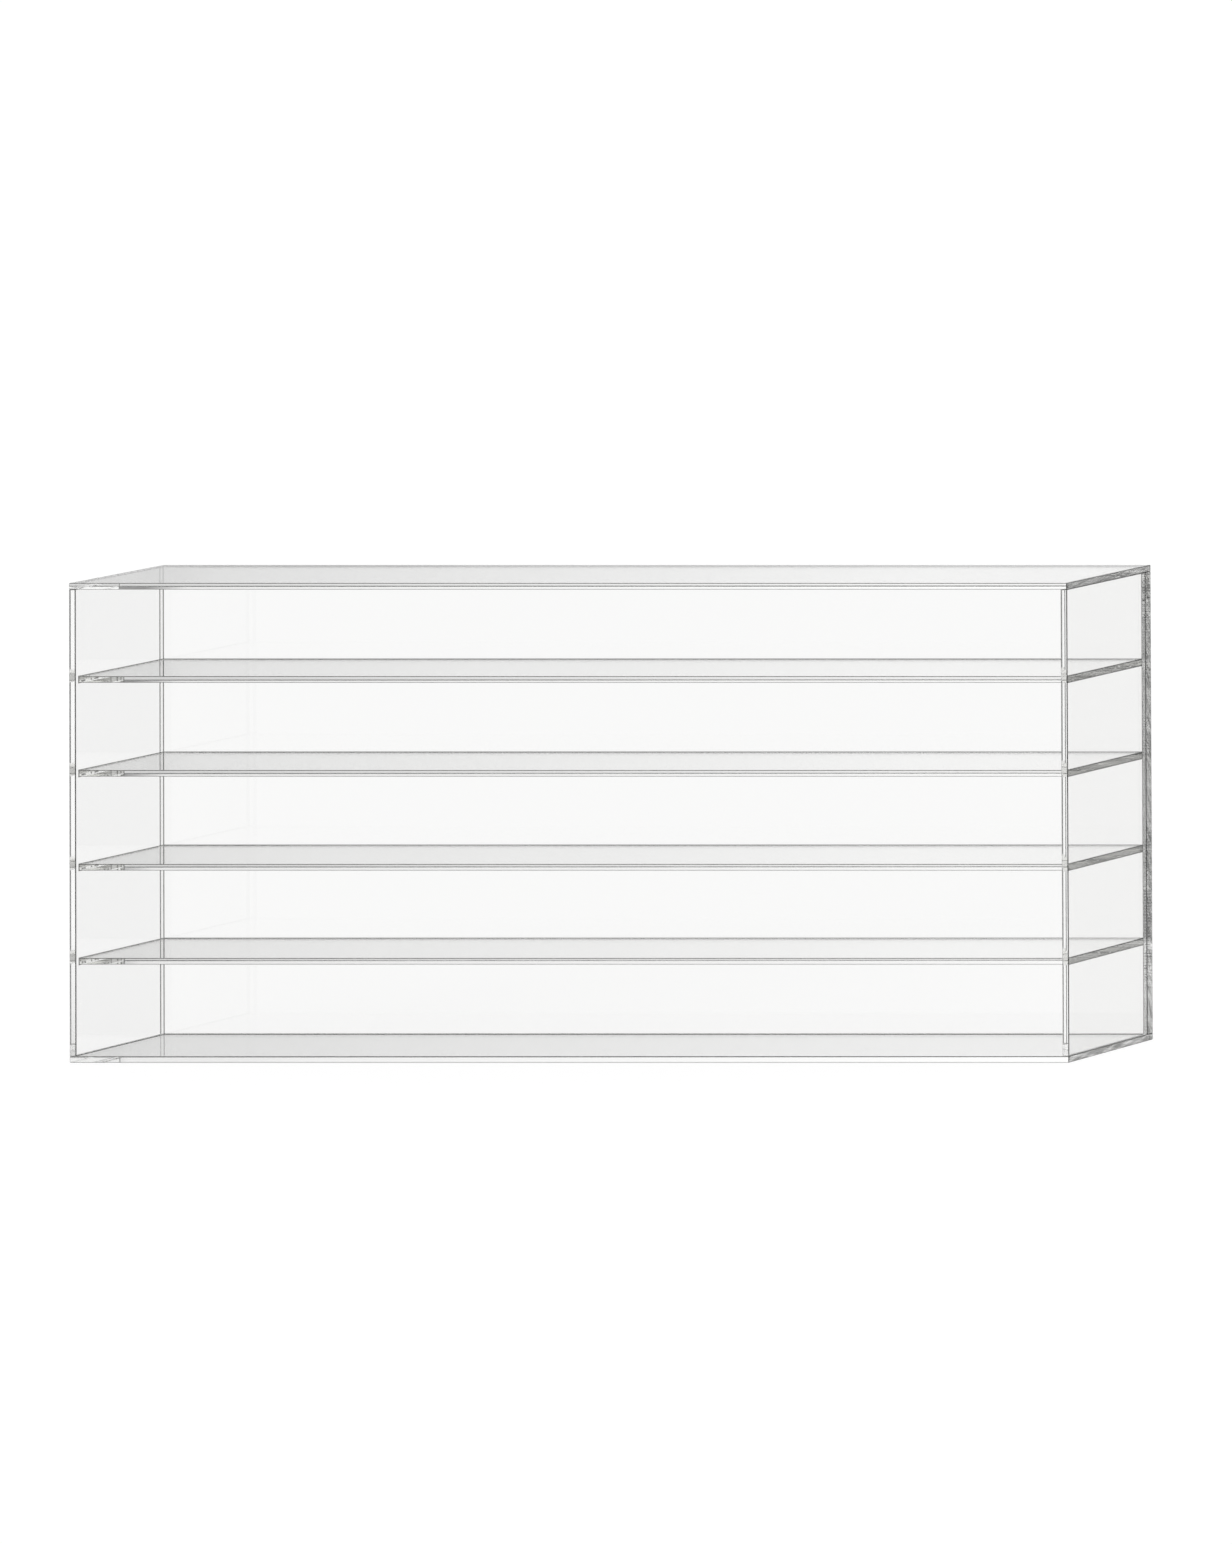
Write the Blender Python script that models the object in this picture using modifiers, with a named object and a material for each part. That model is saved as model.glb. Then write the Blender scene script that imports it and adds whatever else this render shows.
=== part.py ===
# Clear acrylic nail polish rack: an open-front box of bonded sheet with four fixed shelves.
#
# Units are metres. +Z is up, the open front faces -Y, and the origin is the middle of the base.
# The rack is nine flat sheets. The top and the bottom run the full width and depth. The back
# stands between them at the rear, and the two sides stand between them in front of the back.
# The shelves butt against the sides and the back, and stop a little short of the front.

import bpy

# Overall size
WIDTH = 0.920
DEPTH = 0.085

# Sheet thicknesses
CASE_SHEET = 0.006
SHELF_SHEET = 0.006
BACK_SHEET = 0.006

# Compartments: the lowest one is a little taller than the four above it
CLEAR_HEIGHT = 0.080
BOTTOM_CLEAR_HEIGHT = 0.083
SHELF_COUNT = 4

# Fits and edges
SHELF_SETBACK = 0.003
BOND_GAP = 0.0003
ARRIS = 0.0004
ARRIS_SEGMENTS = 2

# Heights that follow from the sizes above
BASE_TOP = CASE_SHEET
SHELF_PITCH = CLEAR_HEIGHT + SHELF_SHEET
FIRST_SHELF_BOTTOM = BASE_TOP + BOTTOM_CLEAR_HEIGHT
LID_BOTTOM = FIRST_SHELF_BOTTOM + SHELF_COUNT * SHELF_PITCH
HEIGHT = LID_BOTTOM + CASE_SHEET

# Faces that several sheets meet
OUTER_X = WIDTH / 2
INNER_X = OUTER_X - CASE_SHEET
FRONT_Y = -DEPTH / 2
REAR_Y = DEPTH / 2
BACK_FRONT_Y = REAR_Y - BACK_SHEET

# Polished PMMA
ACRYLIC_COLOUR = (0.96, 0.98, 0.97, 1.0)
ACRYLIC_ROUGHNESS = 0.03
ACRYLIC_IOR = 1.49


def clear_scene():
    for item in list(bpy.data.objects):
        bpy.data.objects.remove(item, do_unlink=True)


def make_collection(name):
    collection = bpy.data.collections.new(name)
    bpy.context.scene.collection.children.link(collection)
    return collection


def acrylic_material(name):
    material = bpy.data.materials.new(name)
    material.use_nodes = True
    shader = material.node_tree.nodes["Principled BSDF"]
    shader.inputs["Base Color"].default_value = ACRYLIC_COLOUR
    shader.inputs["Metallic"].default_value = 0.0
    shader.inputs["Roughness"].default_value = ACRYLIC_ROUGHNESS
    shader.inputs["IOR"].default_value = ACRYLIC_IOR
    shader.inputs["Transmission Weight"].default_value = 1.0
    return material


def acrylic_sheet(collection, name, low, high):
    """A flat sheet from its lowest to its highest corner, with every edge lightly broken."""
    size = [top - bottom for bottom, top in zip(low, high)]
    centre = [(top + bottom) / 2 for bottom, top in zip(low, high)]

    bpy.ops.mesh.primitive_cube_add(size=1.0, location=centre)
    sheet = bpy.context.object
    sheet.name = name
    sheet.data.name = name
    sheet.scale = size
    bpy.ops.object.transform_apply(location=False, rotation=False, scale=True)

    bevel = sheet.modifiers.new("arris", "BEVEL")
    bevel.width = ARRIS
    bevel.segments = ARRIS_SEGMENTS
    bevel.limit_method = "ANGLE"

    sheet.data.materials.append(acrylic_material(name + "_acrylic"))
    for owner in list(sheet.users_collection):
        owner.objects.unlink(sheet)
    collection.objects.link(sheet)
    return sheet


def add_top_and_bottom(collection):
    acrylic_sheet(collection, "bottom_panel",
                  (-OUTER_X, FRONT_Y, 0.0),
                  (OUTER_X, REAR_Y, BASE_TOP))
    acrylic_sheet(collection, "top_panel",
                  (-OUTER_X, FRONT_Y, LID_BOTTOM),
                  (OUTER_X, REAR_Y, HEIGHT))


def add_back(collection):
    acrylic_sheet(collection, "back_panel",
                  (-OUTER_X, BACK_FRONT_Y, BASE_TOP + BOND_GAP),
                  (OUTER_X, REAR_Y, LID_BOTTOM - BOND_GAP))


def add_sides(collection):
    low_y, high_y = FRONT_Y, BACK_FRONT_Y - BOND_GAP
    low_z, high_z = BASE_TOP + BOND_GAP, LID_BOTTOM - BOND_GAP
    acrylic_sheet(collection, "left_side_panel",
                  (-OUTER_X, low_y, low_z),
                  (-INNER_X, high_y, high_z))
    acrylic_sheet(collection, "right_side_panel",
                  (INNER_X, low_y, low_z),
                  (OUTER_X, high_y, high_z))


def add_shelves(collection):
    half_length = INNER_X - BOND_GAP
    for index in range(SHELF_COUNT):
        bottom = FIRST_SHELF_BOTTOM + index * SHELF_PITCH
        acrylic_sheet(collection, f"shelf_{index + 1}",
                      (-half_length, FRONT_Y + SHELF_SETBACK, bottom),
                      (half_length, BACK_FRONT_Y - BOND_GAP, bottom + SHELF_SHEET))


def main():
    clear_scene()
    rack = make_collection("nail_polish_rack")
    add_top_and_bottom(rack)
    add_back(rack)
    add_sides(rack)
    add_shelves(rack)


main()
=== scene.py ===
import math

import bmesh
import bpy
from mathutils import Matrix, Vector


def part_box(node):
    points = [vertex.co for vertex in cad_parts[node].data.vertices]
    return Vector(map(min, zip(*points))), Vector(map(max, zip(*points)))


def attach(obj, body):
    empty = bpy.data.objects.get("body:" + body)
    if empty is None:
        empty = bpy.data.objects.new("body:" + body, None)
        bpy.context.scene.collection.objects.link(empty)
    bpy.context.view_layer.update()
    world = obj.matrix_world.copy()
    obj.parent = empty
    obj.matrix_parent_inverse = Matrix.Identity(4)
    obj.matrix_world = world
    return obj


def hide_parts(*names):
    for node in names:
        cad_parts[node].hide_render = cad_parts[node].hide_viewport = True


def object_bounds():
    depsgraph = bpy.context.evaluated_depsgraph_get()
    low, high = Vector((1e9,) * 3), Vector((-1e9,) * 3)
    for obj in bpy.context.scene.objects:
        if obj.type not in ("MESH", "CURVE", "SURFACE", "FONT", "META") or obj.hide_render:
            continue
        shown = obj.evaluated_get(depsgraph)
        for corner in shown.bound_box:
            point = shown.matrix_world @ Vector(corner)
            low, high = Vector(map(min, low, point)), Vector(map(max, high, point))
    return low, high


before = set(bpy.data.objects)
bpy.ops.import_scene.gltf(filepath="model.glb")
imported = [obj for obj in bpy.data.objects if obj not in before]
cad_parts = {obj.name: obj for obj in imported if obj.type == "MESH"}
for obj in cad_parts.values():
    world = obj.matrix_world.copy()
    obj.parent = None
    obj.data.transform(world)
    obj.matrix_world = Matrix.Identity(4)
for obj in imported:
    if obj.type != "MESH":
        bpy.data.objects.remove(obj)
cadBox = [list(corner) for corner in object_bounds()]
print("frame loaded:", len(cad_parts), "sheets")


viewCamera = {
    "eye": (7.81, -8.0, 2.026),          # metres
    "target": (0.044, -0.0425, 0.266),   # what the middle of the frame looks at
    "upLean": (0.0286, -0.0259),         # lets the uprights close in slightly towards the base
    "lens": 284.9,
}


def makeViewCamera(settings):
    # a view camera: the film stays parallel to the rack's front while the lens looks in from the side,
    # so the long edges stay level. The stand below holds that slant, and the camera hangs on it.
    eye = Vector(settings["eye"])
    across = Vector((1.0, 0.0, 0.0))
    up = Vector((*settings["upLean"], 1.0)).normalized()
    back = (eye - Vector(settings["target"])).normalized()

    cameraData = bpy.data.cameras.new("viewCamera")
    cameraData.lens = settings["lens"]
    cameraData.clip_start = 0.1
    cameraData.clip_end = 200.0
    camera = bpy.data.objects.new("viewCamera", cameraData)
    stand = bpy.data.objects.new("cameraStand", None)
    for item in (stand, camera):
        bpy.context.scene.collection.objects.link(item)

    slant = Matrix.Translation(eye)
    for column, direction in enumerate((across, up, back)):
        for row in range(3):
            slant[row][column] = direction[row]
    camera.parent = stand
    camera.matrix_parent_inverse = slant
    bpy.context.scene.camera = camera
    return camera


makeViewCamera(viewCamera)
print("camera ready")


def newGroup(name, inputs, outputs):
    group = bpy.data.node_groups.new(name, "ShaderNodeTree")
    for label, kind, value in inputs:
        socket = group.interface.new_socket(name=label, in_out="INPUT", socket_type=kind)
        if value is not None:
            socket.default_value = value
    for label, kind in outputs:
        group.interface.new_socket(name=label, in_out="OUTPUT", socket_type=kind)
    start = group.nodes.new("NodeGroupInput")
    end = group.nodes.new("NodeGroupOutput")
    return group, start, end


def mathNode(tree, operation, first, second=None):
    node = tree.nodes.new("ShaderNodeMath")
    node.operation = operation
    for socket, value in zip(node.inputs, (first, second)):
        if value is None:
            continue
        if isinstance(value, (int, float)):
            socket.default_value = value
        else:
            tree.links.new(value, socket)
    return node.outputs["Value"]


def rampNode(tree, value, low, high, atLow, atHigh):
    ramp = tree.nodes.new("ShaderNodeMapRange")
    for label, setting in (("Value", value), ("From Min", low), ("From Max", high), ("To Min", atLow),
                           ("To Max", atHigh)):
        if isinstance(setting, bpy.types.NodeSocket):
            tree.links.new(setting, ramp.inputs[label])
        else:
            ramp.inputs[label].default_value = setting
    return ramp.outputs["Result"]


acrylic = {
    "ior": 1.49,
    "face": {"tint": (0.950, 0.950, 0.946, 1.0), "rippleScale": 5.0, "rippleHeight": 0.00001, "haze": 0.0},
    # painted shade: the top and bottom panels (lid) and the two side panels (side) take darker tints than the
    # same acrylic elsewhere
    "lid": {"tint": (0.860, 0.860, 0.856, 1.0), "rippleScale": 5.0, "rippleHeight": 0.00001, "haze": 0.0},
    "side": {"tint": (0.920, 0.920, 0.916, 1.0), "rippleScale": 5.0, "rippleHeight": 0.00001, "haze": 0.0},
    "edge": {"tint": (0.95, 0.952, 0.944, 1.0), "rippleScale": 30.0, "rippleHeight": 0.00001, "haze": 0.01},
    "sawnEnd": {"rippleScale": 25.0, "rippleHeight": 0.0002, "haze": 0.01},
    # arris: the sanded haze is real; the near-black tint is painted shade for the dark lines that the bevels show
    "arris": {"tint": (0.06, 0.06, 0.058, 1.0), "rippleScale": 20.0, "rippleHeight": 0.000005, "haze": 0.4},
    # painted shade: the sawn ends are streaked dark for the dark bands that light piped inside a sheet shows at
    # its ends; the saw-mark pattern itself is real
    "streak": {"light": (0.96, 0.96, 0.95, 1.0), "scale": 420.0, "stretch": 6.0, "slant": 0.30},
    "leftStreakShade": {"dark": (0.12, 0.12, 0.12, 1.0), "low": 0.36, "high": 0.46},    # fine and few; their dark tone is painted shade, deepest at the left ends
    "rightStreakShade": {"dark": (0.28, 0.28, 0.275, 1.0), "low": 0.42, "high": 0.58},  # broad; their dark tone is painted shade, lighter at the right ends and uprights
    # the solvent film is real; the darker end tint is painted shade that dims light crossing where the shelves
    # meet the side panels
    "bond": {"clear": (0.97, 0.97, 0.97, 1.0), "end": (0.90, 0.90, 0.89, 1.0)},
}


def makePolishGroup():
    # long fine ripples that a polishing flame or wheel leaves on an edge
    group, start, end = newGroup(
        "edgePolish",
        [("Vector", "NodeSocketVector", None), ("Ripple Scale", "NodeSocketFloat", 120.0),
         ("Ripple Height", "NodeSocketFloat", 0.00003), ("Haze", "NodeSocketFloat", 0.01)],
        [("Normal", "NodeSocketVector"), ("Roughness", "NodeSocketFloat")],
    )
    ripple = group.nodes.new("ShaderNodeTexNoise")
    ripple.inputs["Detail"].default_value = 3.0
    group.links.new(start.outputs["Vector"], ripple.inputs["Vector"])
    group.links.new(start.outputs["Ripple Scale"], ripple.inputs["Scale"])
    bump = group.nodes.new("ShaderNodeBump")
    bump.inputs["Strength"].default_value = 1.0
    group.links.new(ripple.outputs["Fac"], bump.inputs["Height"])
    group.links.new(start.outputs["Ripple Height"], bump.inputs["Distance"])
    group.links.new(bump.outputs["Normal"], end.inputs["Normal"])
    haze = mathNode(group, "MULTIPLY", ripple.outputs["Fac"], start.outputs["Haze"])
    group.links.new(haze, end.inputs["Roughness"])
    return group


polishGroup = makePolishGroup()


def makeAcrylic(name, tint, rippleScale, rippleHeight, haze):
    material = bpy.data.materials.new(name)
    material.use_nodes = True
    tree = material.node_tree
    shader = tree.nodes["Principled BSDF"]
    shader.inputs["Base Color"].default_value = tint
    shader.inputs["IOR"].default_value = acrylic["ior"]
    shader.inputs["Transmission Weight"].default_value = 1.0
    where = tree.nodes.new("ShaderNodeTexCoord")
    polish = tree.nodes.new("ShaderNodeGroup")
    polish.node_tree = polishGroup
    polish.inputs["Ripple Scale"].default_value = rippleScale
    polish.inputs["Ripple Height"].default_value = rippleHeight
    polish.inputs["Haze"].default_value = haze
    tree.links.new(where.outputs["Object"], polish.inputs["Vector"])
    tree.links.new(polish.outputs["Normal"], shader.inputs["Normal"])
    shader.inputs["Roughness"].default_value = 0.0
    if haze > 0.0:
        tree.links.new(polish.outputs["Roughness"], shader.inputs["Roughness"])
    return material


def colourSocket(sockets, label):
    return next(socket for socket in sockets if socket.type == "RGBA" and socket.name == label)


def makeStreakGroup():
    # long slanting streaks that the saw leaves on the end of a sheet, dark on light; the dark tone is painted
    # shade for the dark bands that light piped along a sheet shows at its ends
    group, start, end = newGroup(
        "sawStreaksAndPipedShade",
        [("Vector", "NodeSocketVector", None), ("Slant", "NodeSocketVector", None),
         ("Stretch", "NodeSocketVector", None), ("Scale", "NodeSocketFloat", 400.0),
         ("Dark", "NodeSocketColor", None), ("Light", "NodeSocketColor", None),
         ("Low", "NodeSocketFloat", 0.4), ("High", "NodeSocketFloat", 0.6)],
        [("Color", "NodeSocketColor")],
    )
    turn = group.nodes.new("ShaderNodeMapping")
    turn.vector_type = "TEXTURE"
    cloud = group.nodes.new("ShaderNodeTexNoise")
    cloud.inputs["Detail"].default_value = 2.0
    tone = group.nodes.new("ShaderNodeMix")
    tone.data_type = "RGBA"
    share = rampNode(group, cloud.outputs["Fac"], start.outputs["Low"], start.outputs["High"], 0.0, 1.0)
    for source, target in ((start.outputs["Vector"], turn.inputs["Vector"]),
                           (start.outputs["Slant"], turn.inputs["Rotation"]),
                           (start.outputs["Stretch"], turn.inputs["Scale"]),
                           (turn.outputs["Vector"], cloud.inputs["Vector"]),
                           (start.outputs["Scale"], cloud.inputs["Scale"]),
                           (share, tone.inputs["Factor"]),
                           (start.outputs["Dark"], colourSocket(tone.inputs, "A")),
                           (start.outputs["Light"], colourSocket(tone.inputs, "B")),
                           (colourSocket(tone.outputs, "Result"), end.inputs["Color"])):
        group.links.new(source, target)
    return group


streakGroup = makeStreakGroup()


def makeSawnEnd(name, longAxis, own):
    streak = acrylic["streak"]
    material = makeAcrylic(name, tint=streak["light"], **acrylic["sawnEnd"])
    tree = material.node_tree
    where = tree.nodes.new("ShaderNodeTexCoord")
    saw = tree.nodes.new("ShaderNodeGroup")
    saw.node_tree = streakGroup
    stretch = [streak["stretch"] if axis == longAxis else 1.0 for axis in range(3)]
    for label, value in (("Slant", (streak["slant"], 0.0, 0.0)), ("Stretch", stretch), ("Scale", streak["scale"]),
                         ("Light", streak["light"]), ("Dark", own["dark"]), ("Low", own["low"]),
                         ("High", own["high"])):
        saw.inputs[label].default_value = value
    tree.links.new(where.outputs["Object"], saw.inputs["Vector"])
    # the sawn end's colour carries the saw streaks, with painted shade in their dark tone
    tree.links.new(saw.outputs["Color"], tree.nodes["Principled BSDF"].inputs["Base Color"])
    return material


def makeBond(name, colour):
    material = bpy.data.materials.new(name)
    material.use_nodes = True
    tree = material.node_tree
    tree.nodes.remove(tree.nodes["Principled BSDF"])
    clear = tree.nodes.new("ShaderNodeBsdfTransparent")
    clear.inputs["Color"].default_value = colour
    tree.links.new(clear.outputs["BSDF"], tree.nodes["Material Output"].inputs["Surface"])
    return material


faceAcrylic = makeAcrylic("castFaceAcrylic", **acrylic["face"])
lidAcrylic = makeAcrylic("castLidAcrylicPaintedShade", **acrylic["lid"])
sideAcrylic = makeAcrylic("castSideAcrylicPaintedShade", **acrylic["side"])
edgeAcrylic = makeAcrylic("polishedEdgeAcrylic", **acrylic["edge"])
leftEndAcrylic = makeSawnEnd("sawnLeftEndPaintedShadeAcrylic", 1, acrylic["leftStreakShade"])
rightEndAcrylic = makeSawnEnd("sawnRightEndPaintedShadeAcrylic", 1, acrylic["rightStreakShade"])
uprightEndAcrylic = makeSawnEnd("sawnUprightEndPaintedShadeAcrylic", 2, acrylic["rightStreakShade"])
arrisAcrylic = makeAcrylic("sandedArrisPaintedShadeAcrylic", **acrylic["arris"])
clearBond = makeBond("solventBond", acrylic["bond"]["clear"])
endBond = makeBond("solventEndBondPaintedShade", acrylic["bond"]["end"])
# the panels that take the darker painted-shade tints
facePaints = {"top_panel": lidAcrylic, "bottom_panel": lidAcrylic, "left_side_panel": sideAcrylic,
              "right_side_panel": sideAcrylic}
sheetPaints = (faceAcrylic, lidAcrylic, sideAcrylic, edgeAcrylic, leftEndAcrylic, rightEndAcrylic,
               uprightEndAcrylic, arrisAcrylic, clearBond, endBond)
print("materials ready")


sheetSettings = {
    "arris": 0.0006,        # broken edge left by the polisher
    "bondArris": 0.0005,    # the same where the edge is shut in a bonded joint
    "arrisSegments": 3,
    "film": 0.00001,        # solvent film between two bonded faces
    "bead": 0.0010,         # dull line that the solvent leaves round a bonded patch, painted near-black as shade with the arris material
    "square": 0.999,        # how closely a face has to point along an axis to count as square to it
    "endShare": 0.49,       # beyond this share of its length from the middle, a sheet's edge is at its end
    "fullEnd": 0.9,         # an end counts as bonded all over from this share of its size
    "endSlack": 0.001,
}
caseSheets = ("top_panel", "bottom_panel", "back_panel", "left_side_panel", "right_side_panel")
shelfSheets = tuple(sorted(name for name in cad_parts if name.startswith("shelf")))


def fitSheets():
    # every sheet grows across the joint gap until it meets the sheet that it is bonded to
    boxes = {name: [Vector(corner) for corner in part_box(name)] for name in caseSheets + shelfSheets}
    film = sheetSettings["film"]
    ceiling = boxes["top_panel"][0].z - film
    ground = boxes["bottom_panel"][1].z + film
    rear = boxes["back_panel"][0].y - film
    for name in ("back_panel", "left_side_panel", "right_side_panel"):
        boxes[name][0].z = ground
        boxes[name][1].z = ceiling
    for name in ("left_side_panel", "right_side_panel") + shelfSheets:
        boxes[name][1].y = rear
    for name in shelfSheets:
        boxes[name][0].x = boxes["left_side_panel"][1].x + film
        boxes[name][1].x = boxes["right_side_panel"][0].x - film
    return boxes


def bondPatches(boxes):
    # the rectangles where two sheets meet, as (axis, side, low, high) for each sheet
    patches = {name: [] for name in boxes}
    inset = sheetSettings["bondArris"]
    reach = sheetSettings["film"] * 3
    for one, (oneLow, oneHigh) in boxes.items():
        for other, (otherLow, otherHigh) in boxes.items():
            for axis in range(3):
                if abs(oneHigh[axis] - otherLow[axis]) > reach:
                    continue
                low = [max(a, b) + inset for a, b in zip(oneLow, otherLow)]
                high = [min(a, b) - inset for a, b in zip(oneHigh, otherHigh)]
                across = [k for k in range(3) if k != axis]
                if any(high[k] - low[k] < inset for k in across):
                    continue
                patches[one].append((axis, 1, low, high))
                patches[other].append((axis, -1, low, high))
    return patches


def makeSheetTree():
    # a sheet blank as cut by the saw: a block of the given size at the given place. Each edge carries
    # how far it will be broken: fully where both its faces show, less round an end that is bonded.
    tree = bpy.data.node_groups.new("acrylicBlank", "GeometryNodeTree")
    for label, kind in (("Size", "NodeSocketVector"), ("Centre", "NodeSocketVector"),
                        ("Bonded Low", "NodeSocketVector"), ("Bonded High", "NodeSocketVector"),
                        ("Bonded Share", "NodeSocketFloat"), ("Material", "NodeSocketMaterial")):
        tree.interface.new_socket(name=label, in_out="INPUT", socket_type=kind)
    tree.interface.new_socket(name="Geometry", in_out="OUTPUT", socket_type="NodeSocketGeometry")
    start = tree.nodes.new("NodeGroupInput")
    end = tree.nodes.new("NodeGroupOutput")
    block = tree.nodes.new("GeometryNodeMeshCube")
    tree.links.new(start.outputs["Size"], block.inputs["Size"])

    # an edge lies on a bonded end when its middle is at that end of the block
    middle = tree.nodes.new("GeometryNodeInputPosition")
    share = tree.nodes.new("ShaderNodeVectorMath")
    share.operation = "DIVIDE"
    tree.links.new(middle.outputs["Position"], share.inputs[0])
    tree.links.new(start.outputs["Size"], share.inputs[1])
    found = None
    for label, sign in (("Bonded Low", -1.0), ("Bonded High", 1.0)):
        ends = tree.nodes.new("ShaderNodeVectorMath")
        ends.operation = "MULTIPLY"
        tree.links.new(share.outputs[0], ends.inputs[0])
        tree.links.new(start.outputs[label], ends.inputs[1])
        split = tree.nodes.new("ShaderNodeSeparateXYZ")
        tree.links.new(ends.outputs[0], split.inputs[0])
        for axis in "XYZ":
            outward = mathNode(tree, "MULTIPLY", split.outputs[axis], sign)
            reached = mathNode(tree, "GREATER_THAN", outward, sheetSettings["endShare"])
            found = reached if found is None else mathNode(tree, "MAXIMUM", found, reached)
    drop = mathNode(tree, "SUBTRACT", 1.0, start.outputs["Bonded Share"])
    weight = mathNode(tree, "SUBTRACT", 1.0, mathNode(tree, "MULTIPLY", found, drop))
    keep = tree.nodes.new("GeometryNodeStoreNamedAttribute")
    keep.data_type = "FLOAT"
    keep.domain = "EDGE"
    keep.inputs["Name"].default_value = "bevel_weight_edge"
    tree.links.new(block.outputs["Mesh"], keep.inputs["Geometry"])
    tree.links.new(weight, keep.inputs["Value"])

    place = tree.nodes.new("GeometryNodeTransform")
    real = tree.nodes.new("GeometryNodeRealizeInstances")
    paint = tree.nodes.new("GeometryNodeSetMaterial")
    tree.links.new(keep.outputs["Geometry"], place.inputs["Geometry"])
    tree.links.new(start.outputs["Centre"], place.inputs["Translation"])
    tree.links.new(place.outputs["Geometry"], real.inputs["Geometry"])
    tree.links.new(real.outputs["Geometry"], paint.inputs["Geometry"])
    tree.links.new(start.outputs["Material"], paint.inputs["Material"])
    tree.links.new(paint.outputs["Geometry"], end.inputs["Geometry"])
    return tree


sheetTree = makeSheetTree()


def socketId(tree, label):
    for item in tree.interface.items_tree:
        if item.item_type == "SOCKET" and item.in_out == "INPUT" and item.name == label:
            return item.identifier
    raise KeyError(label)


def plainMesh(source, name):
    # the evaluated result of an object's modifiers, as a mesh of its own
    graph = bpy.context.evaluated_depsgraph_get()
    mesh = bpy.data.meshes.new_from_object(source.evaluated_get(graph))
    mesh.name = name
    bpy.data.objects.remove(source, do_unlink=True)
    piece = bpy.data.objects.new(name, mesh)
    bpy.context.scene.collection.objects.link(piece)
    return piece


def bondedEnds(low, high, patches):
    # which ends of a sheet are bonded all over, as one vector of marks for the low ends and one for the high
    ends = {-1: [0.0, 0.0, 0.0], 1: [0.0, 0.0, 0.0]}
    for axis, side, patchLow, patchHigh in patches:
        across = [k for k in range(3) if k != axis]
        needed = {k: sheetSettings["fullEnd"] * (high[k] - low[k]) - sheetSettings["endSlack"] for k in across}
        if all(patchHigh[k] - patchLow[k] > needed[k] for k in across):
            ends[side][axis] = 1.0
    return {side: tuple(marks) for side, marks in ends.items()}


def makeSheet(name, low, high, patches):
    blank = bpy.data.objects.new(name + "_blank", bpy.data.meshes.new(name + "_blank"))
    bpy.context.scene.collection.objects.link(blank)
    saw = blank.modifiers.new("saw", "NODES")
    saw.node_group = sheetTree
    saw[socketId(sheetTree, "Size")] = tuple(high - low)
    saw[socketId(sheetTree, "Centre")] = tuple((high + low) / 2)
    bonded = bondedEnds(low, high, patches)
    saw[socketId(sheetTree, "Bonded Low")] = bonded[-1]
    saw[socketId(sheetTree, "Bonded High")] = bonded[1]
    saw[socketId(sheetTree, "Bonded Share")] = sheetSettings["bondArris"] / sheetSettings["arris"]
    saw[socketId(sheetTree, "Material")] = faceAcrylic
    arris = blank.modifiers.new("arris", "BEVEL")
    arris.width = sheetSettings["arris"]
    arris.segments = sheetSettings["arrisSegments"]
    arris.limit_method = "WEIGHT"
    piece = plainMesh(blank, "acrylic_" + name)

    thin = min(range(3), key=lambda axis: high[axis] - low[axis])
    mesh = piece.data
    mesh.materials.clear()
    for material in sheetPaints:
        mesh.materials.append(material)
    work = bmesh.new()
    work.from_mesh(mesh)
    for axis, side, patchLow, patchHigh in patches:
        for across in (k for k in range(3) if k != axis):
            bead = sheetSettings["bead"] if axis == thin else 0.0
            cuts = {patchLow[across], patchHigh[across], patchLow[across] - bead, patchHigh[across] + bead}
            for cut in sorted(cuts):
                inside = low[across] + sheetSettings["arris"] < cut < high[across] - sheetSettings["arris"]
                if not inside:
                    continue
                point = Vector((0.0, 0.0, 0.0))
                point[across] = cut
                direction = Vector((0.0, 0.0, 0.0))
                direction[across] = 1.0
                parts = work.verts[:] + work.edges[:] + work.faces[:]
                bmesh.ops.bisect_plane(work, geom=parts, plane_co=point, plane_no=direction, dist=1e-7)
    for face in work.faces:
        face.smooth = False
        facing = max(range(3), key=lambda axis: abs(face.normal[axis]))
        paint = facePaints.get(name, faceAcrylic) if facing == thin else edgeAcrylic
        # the left and right ends take differently dark painted-shade streaks
        if facing == 0 and facing != thin:
            leftFace = face.normal.x < 0.0
            paint = leftEndAcrylic if leftFace else rightEndAcrylic
            if thin == 1:
                paint = edgeAcrylic if leftFace else uprightEndAcrylic
        # bevel faces take the arris material, whose near-black tint is painted shade
        if abs(face.normal[facing]) < sheetSettings["square"]:
            paint = arrisAcrylic
        middle = face.calc_center_median()
        for axis, side, patchLow, patchHigh in patches:
            if face.normal[axis] * side < sheetSettings["square"]:
                continue
            past = max(max(patchLow[k] - middle[k], middle[k] - patchHigh[k]) for k in range(3) if k != axis)
            if past < 0.0:
                # joints across X, where the shelves meet the side panels, take the darker painted-shade end bond
                paint = endBond if axis == 0 else clearBond
                break
            # a thin band round the patch is painted near-black with the arris material: painted shade on the
            # solvent line
            if past < sheetSettings["bead"] and axis == thin:
                paint = arrisAcrylic
        face.material_index = sheetPaints.index(paint)
    work.to_mesh(mesh)
    work.free()
    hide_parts(name)
    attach(piece, "root")
    return piece


sheetBoxes = fitSheets()
sheetPatches = bondPatches(sheetBoxes)
for sheetName, (sheetLow, sheetHigh) in sheetBoxes.items():
    makeSheet(sheetName, sheetLow, sheetHigh, sheetPatches[sheetName])
    print("sheet", sheetName, "bonded on", len(sheetPatches[sheetName]), "faces")


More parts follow.
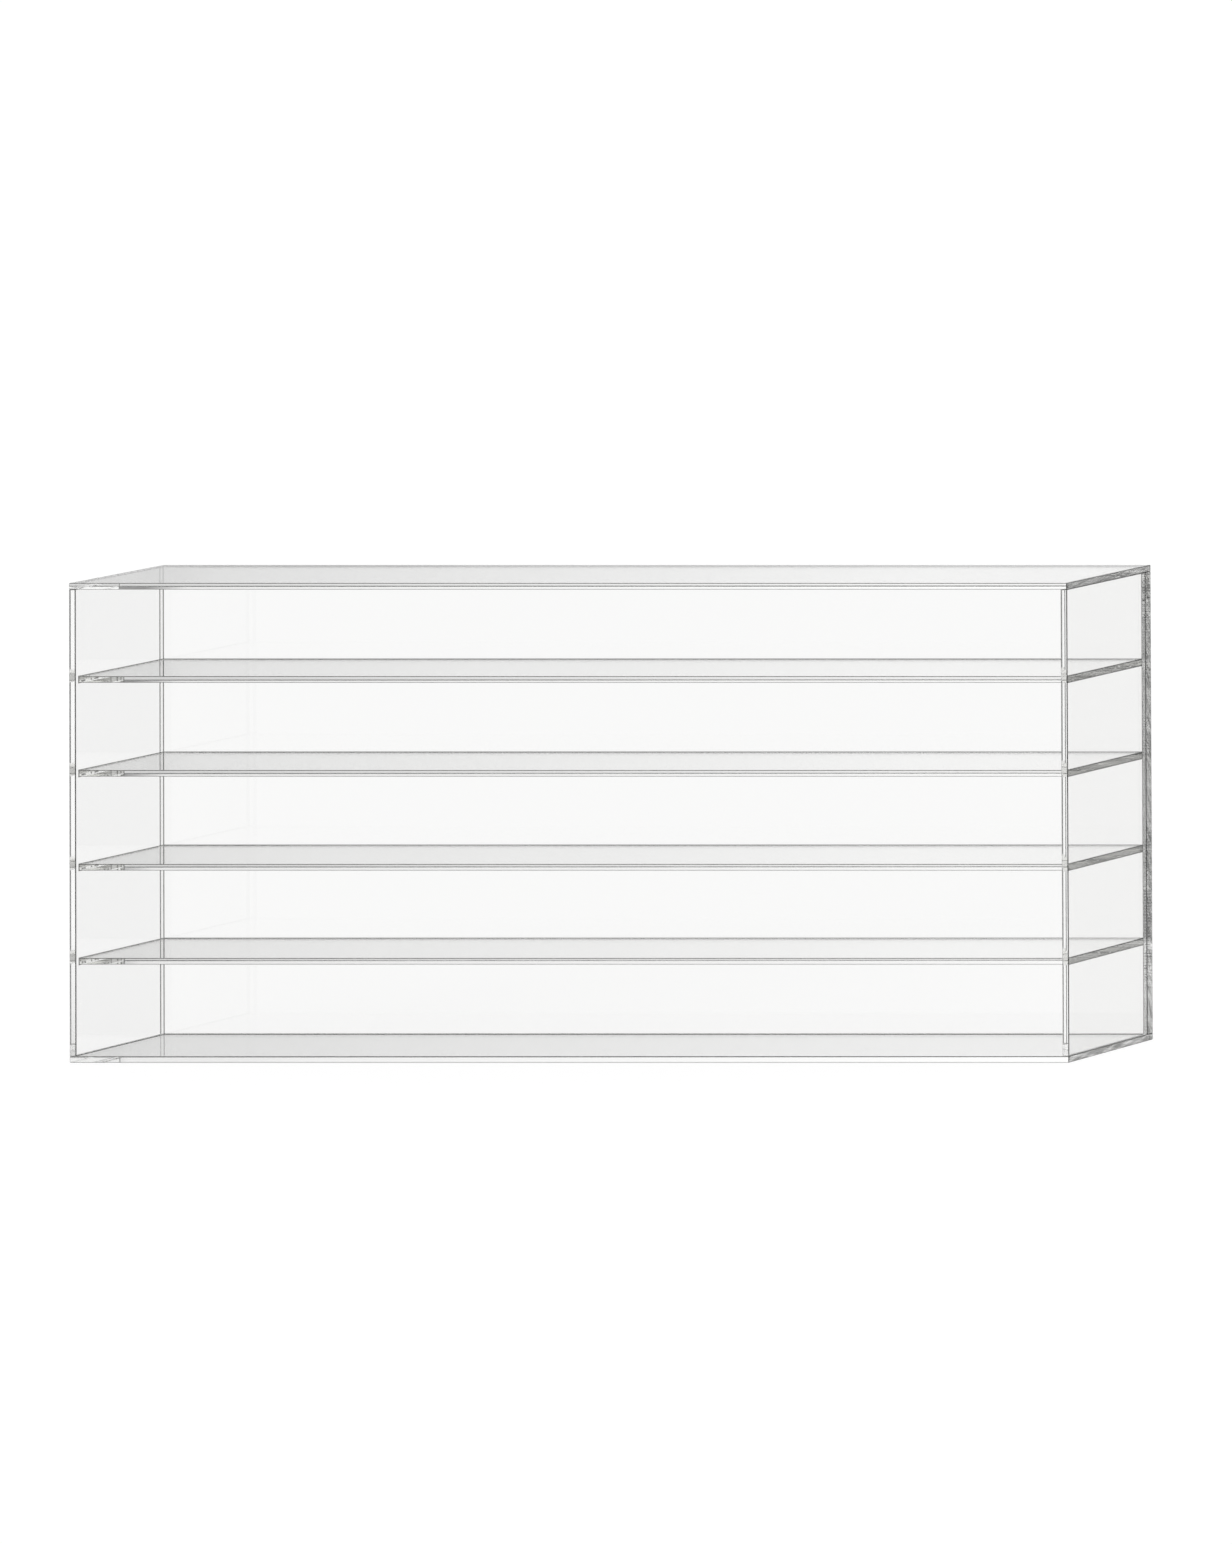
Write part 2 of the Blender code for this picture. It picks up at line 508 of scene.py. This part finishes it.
studio = {
    "turns": 96,
    "bondsCrossed": 32,
    "floorSize": 60.0,
    "floorDrop": 0.0002,    # keeps the floor clear of the bottom panel
    "floorRoughness": 0.9,
    "floorColour": (0.08, 0.08, 0.08, 1.0),
    "glow": 0.93,           # the floor's own glow, as seen straight or through the sheets
    "mirroredLeft": 0.6,    # painted reflection: the floor's glow as the sheets mirror it, from the left of the rack
    "mirroredRight": 0.95,  # to the right
    "mirroredBehind": 0.15,  # and in a painted dark strip behind it
    "strip": (-1.1, -0.7, -0.2, 0.2),  # where that strip starts, is full, starts to fade and ends
    "stripFrom": 0.03,
    "pipedLeft": 0.82,      # and after several turns inside a sheet: painted shade for light piped along it
    "pipedRight": 1.0,
    "pipedEnd": 0.26,       # less again out of the left end
    "endWidth": 0.05,
    "sky": 0.7,             # low down
    "overhead": 1.6,
    "skyHeights": (0.45, 0.8),  # between which it brightens
    "backdrop": 1.015,      # the same sky as the camera sees it straight
}


def makeFloor():
    # a floor that glows, with painted reflections: its glow is less bright where the sheets mirror it once, and
    # otherwise again after several turns
    half = studio["floorSize"] / 2
    mesh = bpy.data.meshes.new("studioFloor")
    corners = [(-half, -half, 0.0), (half, -half, 0.0), (half, half, 0.0), (-half, half, 0.0)]
    mesh.from_pydata(corners, [], [(0, 1, 2, 3)])
    floor = bpy.data.objects.new("studioFloor", mesh)
    floor.location.z = -studio["floorDrop"]
    bpy.context.scene.collection.objects.link(floor)
    material = bpy.data.materials.new("paleFloor")
    material.use_nodes = True
    tree = material.node_tree
    shader = tree.nodes["Principled BSDF"]
    shader.inputs["Base Color"].default_value = studio["floorColour"]
    shader.inputs["Roughness"].default_value = studio["floorRoughness"]
    shader.inputs["Specular IOR Level"].default_value = 0.0
    shader.inputs["Emission Color"].default_value = (1.0, 1.0, 1.0, 1.0)
    where = tree.nodes.new("ShaderNodeTexCoord")
    split = tree.nodes.new("ShaderNodeSeparateXYZ")
    tree.links.new(where.outputs["Object"], split.inputs["Vector"])
    x, y = split.outputs["X"], split.outputs["Y"]
    along = mathNode(tree, "ADD", x, y)
    across = mathNode(tree, "SUBTRACT", x, y)
    left, right = cadBox[0][0], cadBox[1][0]
    # painted reflection: how bright the mirrored floor is, graded from the left of the rack to the right
    lit = rampNode(tree, along, left, right, studio["mirroredLeft"], studio["mirroredRight"])
    starts, full, fades, ends = studio["strip"]
    strip = mathNode(tree, "MULTIPLY", rampNode(tree, across, starts, full, 0.0, 1.0),
                     rampNode(tree, across, fades, ends, 1.0, 0.0))
    behind = mathNode(tree, "MULTIPLY", strip, mathNode(tree, "GREATER_THAN", y, studio["stripFrom"]))
    mirrored = rampNode(tree, behind, 0.0, 1.0, lit, studio["mirroredBehind"])
    turned = rampNode(tree, along, left, right, studio["pipedLeft"], studio["pipedRight"])
    atEnd = rampNode(tree, along, left, left + studio["endWidth"], studio["pipedEnd"], 1.0)
    piped = mathNode(tree, "MULTIPLY", turned, atEnd)
    # the glow the floor shows depends on how many mirror turns the ray took: painted reflection and painted shade
    path = tree.nodes.new("ShaderNodeLightPath")
    once = rampNode(tree, path.outputs["Glossy Depth"], 0.0, 1.0, studio["glow"], mirrored)
    seen = rampNode(tree, path.outputs["Glossy Depth"], 1.0, 2.0, once, piped)
    tree.links.new(seen, shader.inputs["Emission Strength"])
    mesh.materials.append(material)
    return floor


def makeSky():
    # even light from above, dimmer near the horizon so that the sheets show against the pale floor
    world = bpy.data.worlds.new("studioSky")
    world.use_nodes = True
    bpy.context.scene.world = world
    tree = world.node_tree
    shine = tree.nodes["Background"]
    where = tree.nodes.new("ShaderNodeTexCoord")
    split = tree.nodes.new("ShaderNodeSeparateXYZ")
    tree.links.new(where.outputs["Generated"], split.inputs["Vector"])
    dome = rampNode(tree, split.outputs["Z"], *studio["skyHeights"], studio["sky"], studio["overhead"])
    path = tree.nodes.new("ShaderNodeLightPath")
    seen = rampNode(tree, path.outputs["Is Camera Ray"], 0.0, 1.0, dome, studio["backdrop"])
    tree.links.new(seen, shine.inputs["Strength"])
    shine.inputs["Color"].default_value = (1.0, 1.0, 1.0, 1.0)


backCard = {
    # a tall card behind and left of the rack, graded from dim to bright; the top and the shelves mirror it
    "centre": (-2.6, 2.6),
    "width": 2.4,
    "height": 3.0,
    "left": 0.74,
    "right": 0.98,
    "gradeHalf": 0.32,      # half the width over which it grades
}


def makeBackCard(settings):
    # the card's own X runs along its width, from the left as seen from the rack
    centre = Vector((*settings["centre"], 0.0))
    toRack = -centre.normalized()
    along = Vector((-toRack.y, toRack.x, 0.0))
    half = settings["width"] / 2
    mesh = bpy.data.meshes.new("backCard")
    mesh.from_pydata([(-half, 0.0, 0.0), (half, 0.0, 0.0), (half, 0.0, settings["height"]),
                      (-half, 0.0, settings["height"])], [], [(0, 1, 2, 3)])
    card = bpy.data.objects.new("backCard", mesh)
    card.location = centre
    card.rotation_euler.z = math.atan2(along.y, along.x)
    card.visible_camera = False
    card.visible_shadow = False
    card.visible_diffuse = False
    bpy.context.scene.collection.objects.link(card)
    material = bpy.data.materials.new("gradedCard")
    material.use_nodes = True
    tree = material.node_tree
    shader = tree.nodes["Principled BSDF"]
    shader.inputs["Base Color"].default_value = (0.0, 0.0, 0.0, 1.0)
    shader.inputs["Specular IOR Level"].default_value = 0.0
    shader.inputs["Emission Color"].default_value = (1.0, 1.0, 1.0, 1.0)
    where = tree.nodes.new("ShaderNodeTexCoord")
    split = tree.nodes.new("ShaderNodeSeparateXYZ")
    tree.links.new(where.outputs["Object"], split.inputs["Vector"])
    grade = rampNode(tree, split.outputs["X"], -settings["gradeHalf"], settings["gradeHalf"], settings["left"],
                     settings["right"])
    tree.links.new(grade, shader.inputs["Emission Strength"])
    mesh.materials.append(material)
    return card


makeFloor()
makeSky()
makeBackCard(backCard)
# light goes along the back panel by dozens of turns before it leaves at the right end
scene = bpy.context.scene
scene.view_settings.view_transform = "Standard"
scene.cycles.max_bounces = studio["turns"]
scene.cycles.glossy_bounces = studio["turns"]
scene.cycles.transmission_bounces = studio["turns"]
scene.cycles.transparent_max_bounces = studio["bondsCrossed"]
print("studio ready")
